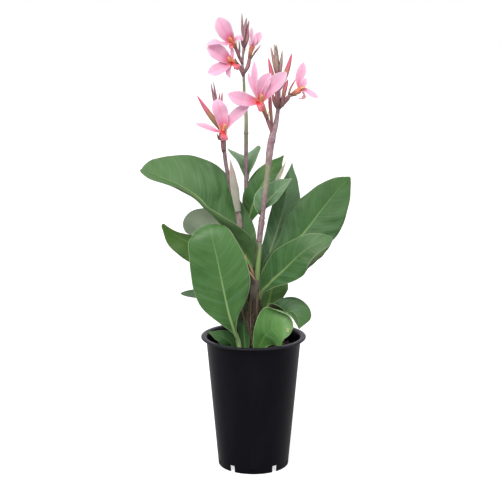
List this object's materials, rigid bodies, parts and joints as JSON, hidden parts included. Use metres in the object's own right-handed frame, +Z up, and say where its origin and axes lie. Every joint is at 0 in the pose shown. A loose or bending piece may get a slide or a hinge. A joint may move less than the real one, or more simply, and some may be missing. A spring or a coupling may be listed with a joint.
{
  "type": "potted canna lily",
  "caption": "Flowering canna lily with broad leaves and loose pink flower heads, growing in a tall tapered black nursery pot of potting mix.",
  "frame": {"origin": "middle of the pot's flat underside", "axes": "+Z up along the pot's axis, -Y towards the clump's front, where the blooms and the largest upright leaf face, +X to the right seen from the front"},
  "size_m": [0.3628, 0.2037, 0.791],
  "materials": {
    "pot": "satin black moulded polypropylene",
    "potting_mix": "crumbly peat and bark",
    "leaf": "satin leaf with pale midrib and veins",
    "stalk": "satin mauve and green stem",
    "flower_head": "dusky mauve buds with a bloom",
    "bract": "thin papery bract, pale green and pink",
    "old_sheath": "dry torn fibre",
    "petal": "soft matt petal",
    "throat": "soft coral petal with orange streaks"
  },
  "bodies": {
    "root": {"pot": "pot", "potting_mix": "potting_mix", "stalk_front": "stalk", "stalk_rear": "stalk", "leaf_left_large": "leaf", "leaf_front_upright": "leaf", "leaf_right_upper": "leaf", "leaf_right_lower": "leaf", "leaf_centre_back": "leaf", "leaf_on_right_stalk": "leaf", "leaf_right_back": "leaf", "leaf_on_rear_stalk": "leaf", "leaf_left_back": "leaf", "leaf_left_bright": "leaf", "leaf_left_small": "leaf", "leaf_front_low": "leaf", "leaf_centre_low": "leaf", "leaf_right_front": "leaf", "leaf_right_small": "leaf", "leaf_right_folded": "leaf", "bract_left": "bract", "young_leaf": "bract", "old_sheath": "old_sheath", "head_left": "flower_head", "head_right": "flower_head", "head_rear": "flower_head", "bloom_left": "petal", "throat_left": "throat", "bloom_centre": "petal", "throat_centre": "throat", "bloom_right": "petal", "throat_right": "throat", "bloom_rear_upper": "petal", "throat_rear_upper": "throat", "bloom_rear_lower": "petal", "throat_rear_lower": "throat", "bloom_rear_opening": "petal"}
  },
  "joints": []
}
